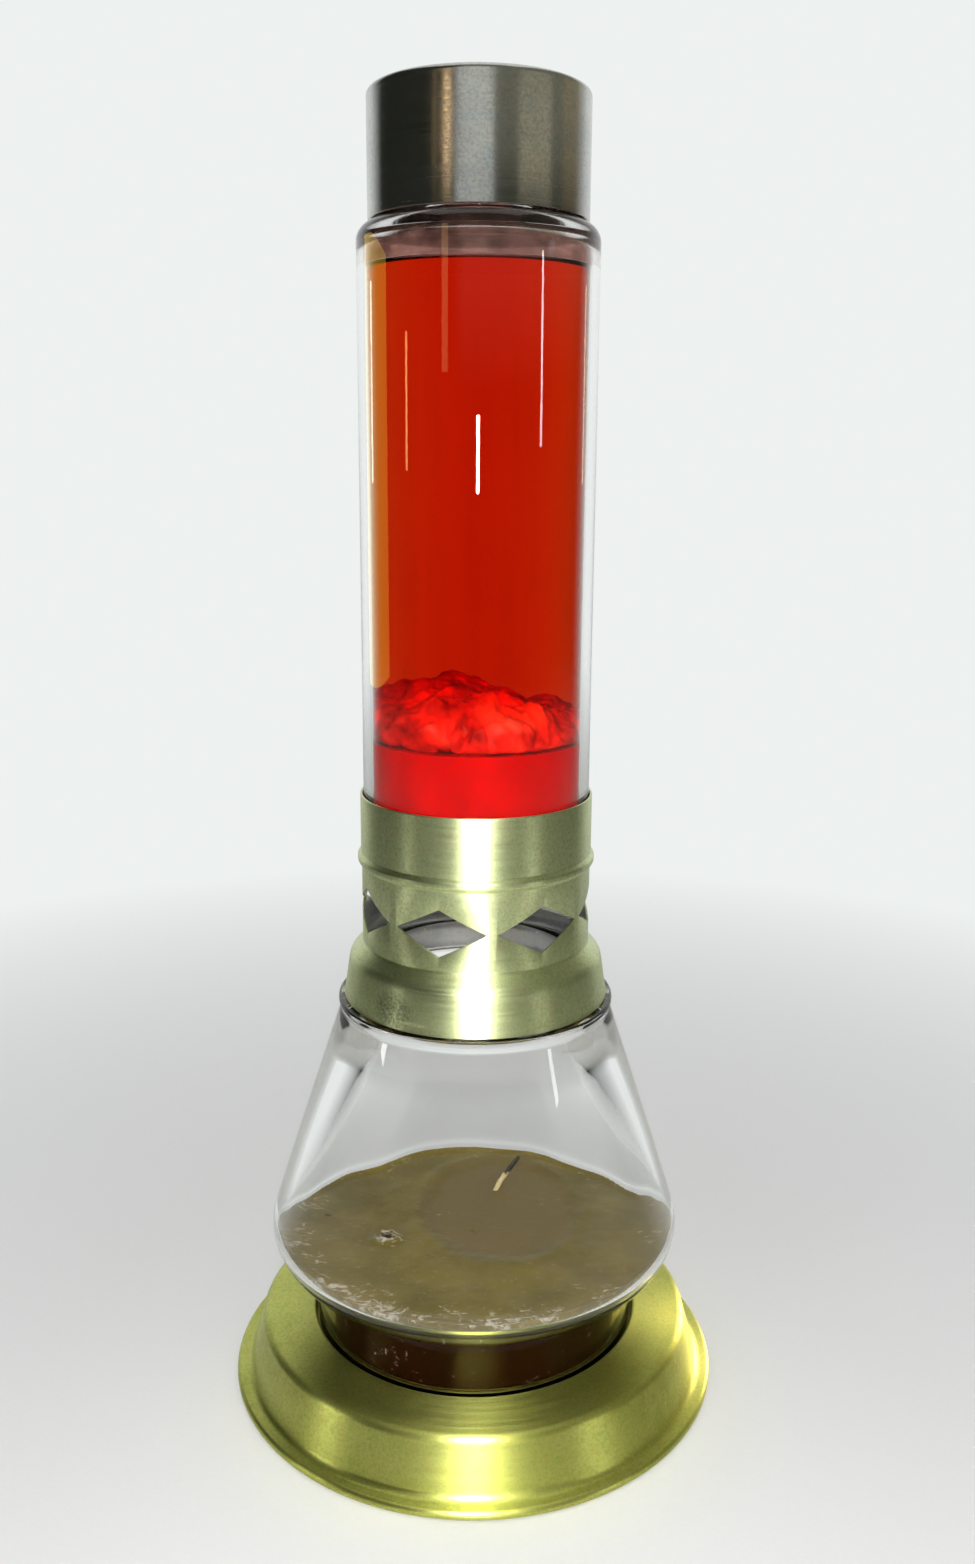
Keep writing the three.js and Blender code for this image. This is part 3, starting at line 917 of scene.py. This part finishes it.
def pool():
    """The wax that has set on the bottle's floor, hollowed where the coil lies."""
    low = heights("lava_wax")[0]
    edge = FILL_RADIUS
    groove = COIL["radius"] + COIL["wire"] + GAP
    inner, outer = COIL["ring"] - groove, COIL["ring"] + groove
    ring_gap = 0.9

    def skin(point):
        if point.z < WAX_Z - ON_LEVEL:
            return point
        return point + Vector((0, 0, waves(point, (0.3, 6), (0.15, 2)) - 0.2))

    return turned(
        "pool",
        [
            (0, low),
            (inner, low, 0.2),
            (inner, low + 2 * groove, 2),
            (outer, low + 2 * groove, 2),
            (outer, low, 0.2),
            (edge, low, 3.6),
            (edge, WAX_Z - 0.3, 0.2),
            *[(edge - ring_gap * k, WAX_Z) for k in range(1, 29)],
            (0, WAX_Z),
        ],
        skin,
    )


def drift(place):
    """A smooth vector of three plain noises. It is the same in every run, as noise.noise_vector is not."""
    return Vector([noise.noise(place + Vector((0, 0, apart))) for apart in (0, 40, 80)])


def folds(place):
    """How far the wax stands out of its mound, in millimetres: soft lobes, creases and fine wrinkles."""
    start = place + NOISE_START
    warp = drift(start / DRIFT_SIZE) * DRIFT_REACH
    height = 0
    for size, share in FOLDS:
        height += share * math.sqrt(noise.noise((start + warp) / size) ** 2 + CREASE_ROUNDING)
    return height


def hold_in(place, most):
    """Keeps a point inside a radius, bending it back softly from a millimetre short of it."""
    reach = math.hypot(place.x, place.y)
    if reach > most - 1:
        held = (most - math.exp(most - 1 - reach)) / reach
        place.x *= held
        place.y *= held


def crumpled_wax():
    """Wax that set in folds: a low mound across the whole bottle, highest left of the middle."""
    mesh = bmesh.new()
    bmesh.ops.create_icosphere(mesh, subdivisions=7, radius=1)
    for vertex in mesh.verts:
        way = vertex.co.normalized()
        height = LUMP["height"] if way.z > 0 else LUMP["depth"]
        flat_share = math.hypot(way.x, way.y) / LUMP["radius"]
        tall_share = abs(way.z) / height
        place = way * (flat_share ** LUMP["power"] + tall_share ** LUMP["power"]) ** (-1 / LUMP["power"])
        width_squared = LUMP["radius"] ** 2
        out = Vector((place.x / width_squared, place.y / width_squared, place.z / height**2)).normalized()
        crest = LUMP["crest"] * math.exp(-(((place.x - LUMP["crest_x"]) / LUMP["crest_width"]) ** 2))
        place.z += max(0, way.z) ** 0.5 * (crest - LUMP["fall"] * max(0, place.x))
        place += out * (folds(place) - FOLDS_MEAN)
        reach = math.hypot(place.x, place.y)
        front_share = max(0, -place.y) / max(1, reach)
        hollow = front_share * max(0, noise.noise(place / HOLLOW_SIZE)) * HOLLOW_DEPTH
        hold_in(place, FILL_RADIUS - 0.4 - hollow)
        place.z = max(place.z, LUMP["underside"]) + hollow * min(1, reach / 14) + WAX_Z + LUMP["lift"]
        vertex.co = place * MM
    return smooth(from_bmesh("crumpled_wax", mesh), 180)


def coil():
    """A spring of steel wire bent into a ring, with a gap between its ends."""
    points = []
    middle = heights("wax_coil")[0] + COIL["wire"] + COIL["radius"]
    steps = COIL["turns"] * COIL["steps"]
    for k in range(steps):
        along = TAU * (1 - 1 / COIL["turns"]) * k / (steps - 1)
        turn = TAU * (COIL["turns"] - 1) * k / (steps - 1)
        r = COIL["ring"] + COIL["radius"] * math.cos(turn)
        z = middle + COIL["radius"] * math.sin(turn)
        points.append(Vector((r * math.cos(along), r * math.sin(along), z)))
    return tube("coil", points, [COIL["wire"]] * len(points), sides=12)


def liner():
    """The sealing disc in the crown."""
    low, high = heights("closure_liner")
    edge = radius("closure_liner")
    return turned("liner", [(0, low), (edge, low, 0.3), (edge, high, 0.3), (0, high)], around=128)


def crown():
    """The crimped crown over the bottle's lip, fluted more towards its lower edge."""
    low, high = heights("closure_crown")
    sheet = 0.3
    edge = 13.6
    flare = 0.5

    def flute(point):
        depth = max(0, high - sheet - point.z) / (high - low)
        wave = flare * depth * math.cos(CROWN_FLUTES * math.atan2(point.y, point.x))
        scale = 1 + wave / max(edge, math.hypot(point.x, point.y))
        return Vector((point.x * scale, point.y * scale, point.z))

    skirt_top = high - sheet - 1
    bands = 6
    skirt = []
    for k in range(1, bands + 1):
        skirt.append((edge + flare * k / bands, skirt_top - (skirt_top - low) * k / bands))
    return turned(
        "crown",
        [
            (0, high - sheet),
            (edge, high - sheet, 1),
            *skirt,
            *[(r + sheet, z) for r, z in reversed(skirt)],
            (edge + sheet, high, 1.3),
            (0, high),
        ],
        flute,
        around=CROWN_FLUTES * 12,
    )


def cap():
    """The steel cup that hides the bottle's neck."""
    low, high = heights("top_cap")
    outer = radius("top_cap")
    return turned(
        "cap",
        [
            (0, high - CAP_SHEET),
            (outer - CAP_SHEET, high - CAP_SHEET, 0.8),
            (outer - CAP_SHEET, low, 0.2),
            (outer, low, 0.25),
            (outer, high, 1.4),
            (0, high),
        ],
    )


def cotton():
    """The wick's yarn: pale waxed cotton, charred black above."""
    tree = Material("wick_cotton")
    height = tree.axis()[1]
    yarn = tree.noise(tree.stretched((1400, 1400, 500)), 1.0, 2.0, 0.5, 0.8)
    edge = tree.maths("MULTIPLY_ADD", yarn, 0.002, height)
    char = tree.spread(edge, 0.0486, 0.0493)
    pale = tree.mix(yarn, (0.34, 0.25, 0.09), (0.6, 0.5, 0.25))
    burnt = tree.mix(yarn, (0.004, 0.004, 0.003), (0.03, 0.026, 0.02))
    return tree.surface(
        {
            "Base Color": tree.mix(char, pale, burnt),
            "Roughness": tree.spread(char, 0, 1, 0.5, 0.95),
            "Normal": tree.bump(yarn, 0.8, 0.0002),
        }
    )


def liner_plastic():
    """The sealing disc's cream plastic."""
    tree = Material("liner_plastic")
    grain = tree.noise(tree.place, 700, 3.0)
    return tree.surface(
        {
            "Base Color": tree.mix(grain, (0.62, 0.58, 0.48), (0.74, 0.7, 0.6)),
            "Roughness": tree.spread(grain, 0.3, 0.7, 0.5, 0.68),
            "IOR": 1.5,
            "Normal": tree.bump(grain, 0.2, 0.00005),
        }
    )


def paint(piece, material, chosen):
    """Gives the faces that chosen(face) picks another material."""
    piece.data.materials.append(material)
    for face in piece.data.polygons:
        if chosen(face):
            face.material_index = len(piece.data.materials) - 1


def looks_in(face):
    """Whether a face looks towards the lamp's axis."""
    return face.normal.xy.dot(face.center.xy) < -LOOKS * face.center.xy.length


def looks_into_neck(face):
    """Whether a face of the bottle, above the liquid, looks in or down into the space there."""
    return looks_in(face) or (face.normal.z < -LOOKS and face.center.xy.length < (FILL_RADIUS + 1) * MM)


def build_lamp():
    """Every piece, with its material, its body and the CAD node that it stands for."""
    gold_base = spun_metal(
        "gold_base",
        (0.54, 0.56, 0.15),
        (0.42, 0.44, 0.09),
        roughness=0.36,
        anisotropy=0.8,
        stain=0.4,
        grain=0.45,
    )
    gold_collar = spun_metal(
        "gold_collar",
        (0.64, 0.7, 0.38),
        (0.52, 0.57, 0.28),
        roughness=0.35,
        anisotropy=0.8,
        stain=0.5,
        grain=0.55,
        wear=COLLAR_WEAR,
    )
    cap_steel = spun_metal(
        "cap_steel",
        (0.58, 0.57, 0.52),
        (0.44, 0.44, 0.44),
        roughness=0.17,
        anisotropy=0.3,
        stain=0.4,
        grain=0.4,
    )
    plated = spun_metal(
        "plated_steel",
        (0.78, 0.78, 0.77),
        (0.6, 0.6, 0.6),
        roughness=0.3,
        anisotropy=0.6,
        stain=0.6,
        grain=0.35,
    )
    flask_glass = clear_glass("flask_glass", (0.985, 0.99, 0.985), ripple=0.00006)
    bottle_glass = clear_glass("bottle_glass", (0.99, 0.99, 0.985), ripple=0.00001)
    set_red = wax(
        "red_wax",
        (0.26, 0.0003, 0.0002),
        (0.36, 0.0006, 0.0004),
        sheen_roughness=0.38,
        scale=60,
        sheen_ior=1.02,
    )
    # The mound's wax carries a patch of painted light.
    crumpled_red = wax(
        "crumpled_red_wax",
        (0.24, 0.0006, 0.0004),
        (0.85, 0.018, 0.008),
        sheen_roughness=0.3,
        scale=130,
        sheen_ior=1.14,
        painted_light=LUMP_PAINTED_LIGHT,
    )
    shell = finished(collar(), gold_collar, "collar", "gold_collar", "gallery_collar")
    paint(shell, plated, looks_in)
    finished(spun_base(), gold_base, "base", "gold_base", "base_shell")
    cone = finished(flask(), flask_glass, "flask", "flask_glass", "glass_flask")
    foot_glass = clear_glass("foot_glass", (0.9, 0.78, 0.68), ripple=0.00001, gloss=0.15)
    paint(cone, foot_glass, lambda face: face.center.z < FOOT_TOP_Z * MM)
    candle_top = candle_wax("candle_top", against_glass=False)
    brown = finished(candle(), candle_top, "flask", "candle_wax", "candle_wax")
    paint(brown, candle_wax("candle_foot", against_glass=True), lambda face: face.normal.z < 0.4)
    finished(wick(), cotton(), "flask", "wick_cotton", "candle_wick")
    finished(tab(), plated, "flask", "plated_steel", "wick_tab")
    finished(seat_ring(), plated, "collar", "plated_steel", "bottle_seat_ring")
    tube_glass = finished(bottle(), bottle_glass, "bottle", "bottle_glass", "glass_bottle")
    liquid_top = heights("lamp_liquid")[1] * MM
    paint(tube_glass, wet_glass(), lambda face: face.center.z < liquid_top and looks_in(face))
    paint(tube_glass, stained_glass(), lambda face: face.center.z > liquid_top and looks_into_neck(face))
    finished(liquid(), red_liquid(), "bottle", "red_liquid", "lamp_liquid")
    finished(pool(), set_red, "bottle", "red_wax", "lava_wax")
    finished(crumpled_wax(), crumpled_red, "bottle", "red_wax", "wax_lump")
    finished(coil(), plated, "bottle", "plated_steel", "wax_coil")
    finished(liner(), liner_plastic(), "bottle", "liner_plastic", "closure_liner")
    finished(crown(), plated, "bottle", "plated_steel", "closure_crown")
    finished(cap(), cap_steel, "cap", "cap_steel", "top_cap")


# ---------------------------------------------------------------- stage


def floor():
    """A pale floor that fades into the surround away from the lamp, and further out where it is mirrored."""
    mesh = bmesh.new()
    bmesh.ops.create_grid(mesh, x_segments=2, y_segments=2, size=8)
    sheet = from_bmesh("floor", mesh)
    tree = Material("floor_paper")
    grain = tree.noise(tree.place, 900, 3.0)
    paper = tree.add(
        "ShaderNodeBsdfPrincipled",
        {
            "Base Color": tree.mix(grain, (0.8, 0.8, 0.8), (0.84, 0.84, 0.84)),
            "Roughness": 0.7,
            "Normal": tree.bump(grain, 0.1, 0.0001),
        },
    ).outputs[0]
    distance = tree.axis()[0]
    glow = tree.add("ShaderNodeEmission", {"Color": surround_colour(tree, tree.place)}).outputs[0]
    seen_fade = tree.spread(distance, 0.12, 0.5)
    mirrored_fade = tree.spread(distance, 0.45, 1.1)
    far = tree.add("ShaderNodeMix", {0: mirrored(tree), 2: seen_fade, 3: mirrored_fade}).outputs[0]
    mixed = tree.add("ShaderNodeMixShader", {0: far, 1: paper, 2: glow}).outputs[0]
    tree.links.new(mixed, tree.output.inputs["Surface"])
    sheet.data.materials.append(tree.material)


def mirrored(tree):
    """1 for what is seen by reflection, 0 for what is seen directly or through glass."""
    depth = tree.add("ShaderNodeLightPath").outputs["Glossy Depth"]
    return tree.maths("MINIMUM", depth, 1.0)


def surround_colour(tree, direction):
    """Pale, but mirrored it is a room: pale behind, dark in front, and dim above except at the left."""
    unit = tree.vector_maths("NORMALIZE", direction)[0]
    parts = tree.add("ShaderNodeSeparateXYZ", {0: unit}).outputs
    above = tree.multiply(tree.spread(parts["Z"], 0.1, 0.2), tree.spread(parts["X"], -0.4, -0.2))
    room = tree.mix(above, DARK, DIM)
    room = tree.mix(tree.spread(parts["Y"], 0.45, 0.75), room, PALE)
    plain = tree.mix(tree.add("ShaderNodeLightPath").outputs["Is Diffuse Ray"], PALE, AMBIENT)
    return tree.mix(mirrored(tree), plain, room)


def area_light(name, place, target, size, power, colour=WHITE):
    """A rectangular light that lights and is mirrored, but is not seen directly or through glass."""
    lamp = bpy.data.lights.new(name, "AREA")
    lamp.shape = "RECTANGLE"
    lamp.size, lamp.size_y = size
    lamp.energy = power
    lamp.color = colour
    obj = bpy.data.objects.new(name, lamp)
    bpy.context.scene.collection.objects.link(obj)
    obj.location = place
    obj.rotation_euler = (Vector(target) - Vector(place)).to_track_quat("-Z", "Y").to_euler()
    obj.visible_camera = False
    obj.visible_transmission = False
    return obj


def shine_on(lamp, names, state="INCLUDE"):
    """Makes a light fall on and be mirrored in the named pieces only, or with EXCLUDE in all but those."""
    group = bpy.data.collections.new(lamp.name + "_pieces")
    for name in names:
        group.objects.link(bpy.data.objects[name])
    lamp.light_linking.receiver_collection = group
    for member in group.collection_objects:
        member.light_linking.link_state = state


def surround():
    """The world round the lamp: a pale studio."""
    world = bpy.data.worlds.new("surround")
    bpy.context.scene.world = world
    tree = Nodes(world)
    direction = tree.add("ShaderNodeTexCoord").outputs["Generated"]
    background = tree.add("ShaderNodeBackground", {"Color": surround_colour(tree, direction)})
    tree.links.new(background.outputs[0], tree.add("ShaderNodeOutputWorld").inputs["Surface"])


def camera():
    """The camera, where the photographer's stood."""
    data = bpy.data.cameras.new("camera")
    data.lens = LENS
    data.sensor_width = SENSOR
    obj = bpy.data.objects.new("camera", data)
    bpy.context.scene.collection.objects.link(obj)
    obj.location = (CAMERA_X * MM, -CAMERA_DISTANCE * MM, CAMERA_HEIGHT * MM)
    obj.rotation_euler = (math.radians(90 - PITCH), math.radians(ROLL), 0)
    bpy.context.scene.camera = obj


def panel(pieces, azimuth, low, high, width, distance, brightness, colour):
    """An upright bright panel, turned to the axis, that only shows as a reflection in some pieces."""
    turn = math.radians(azimuth)
    place = Vector((distance * math.sin(turn), -distance * math.cos(turn), (low + high) / 2))
    power = brightness * math.pi * width * (high - low)
    lamp = area_light("panel", place, (0, 0, place.z), (width, high - low), power, colour)
    lamp.visible_diffuse = False
    shine_on(lamp, pieces)


def light():
    """The flash, a soft light overhead, a wider glint of the flash on the gold pieces, and the panels."""
    flash = area_light("flash", FLASH, FLASH_TARGET, size=(0.014, 0.045), power=1.4)
    shine_on(flash, STEEL, "EXCLUDE")
    area_light("overhead", (0, 0.1, 1.1), (0, 0, 0), size=(0.9, 0.9), power=2.0)
    glint = area_light("metal_glint", FLASH, FLASH_TARGET, size=(0.05, 0.035), power=2.4)
    glint.visible_diffuse = False
    shine_on(glint, GOLD)
    for row in PANELS:
        panel(*row)


camera()
build_lamp()
floor()
surround()
light()
bpy.context.scene.view_settings.view_transform = "Standard"
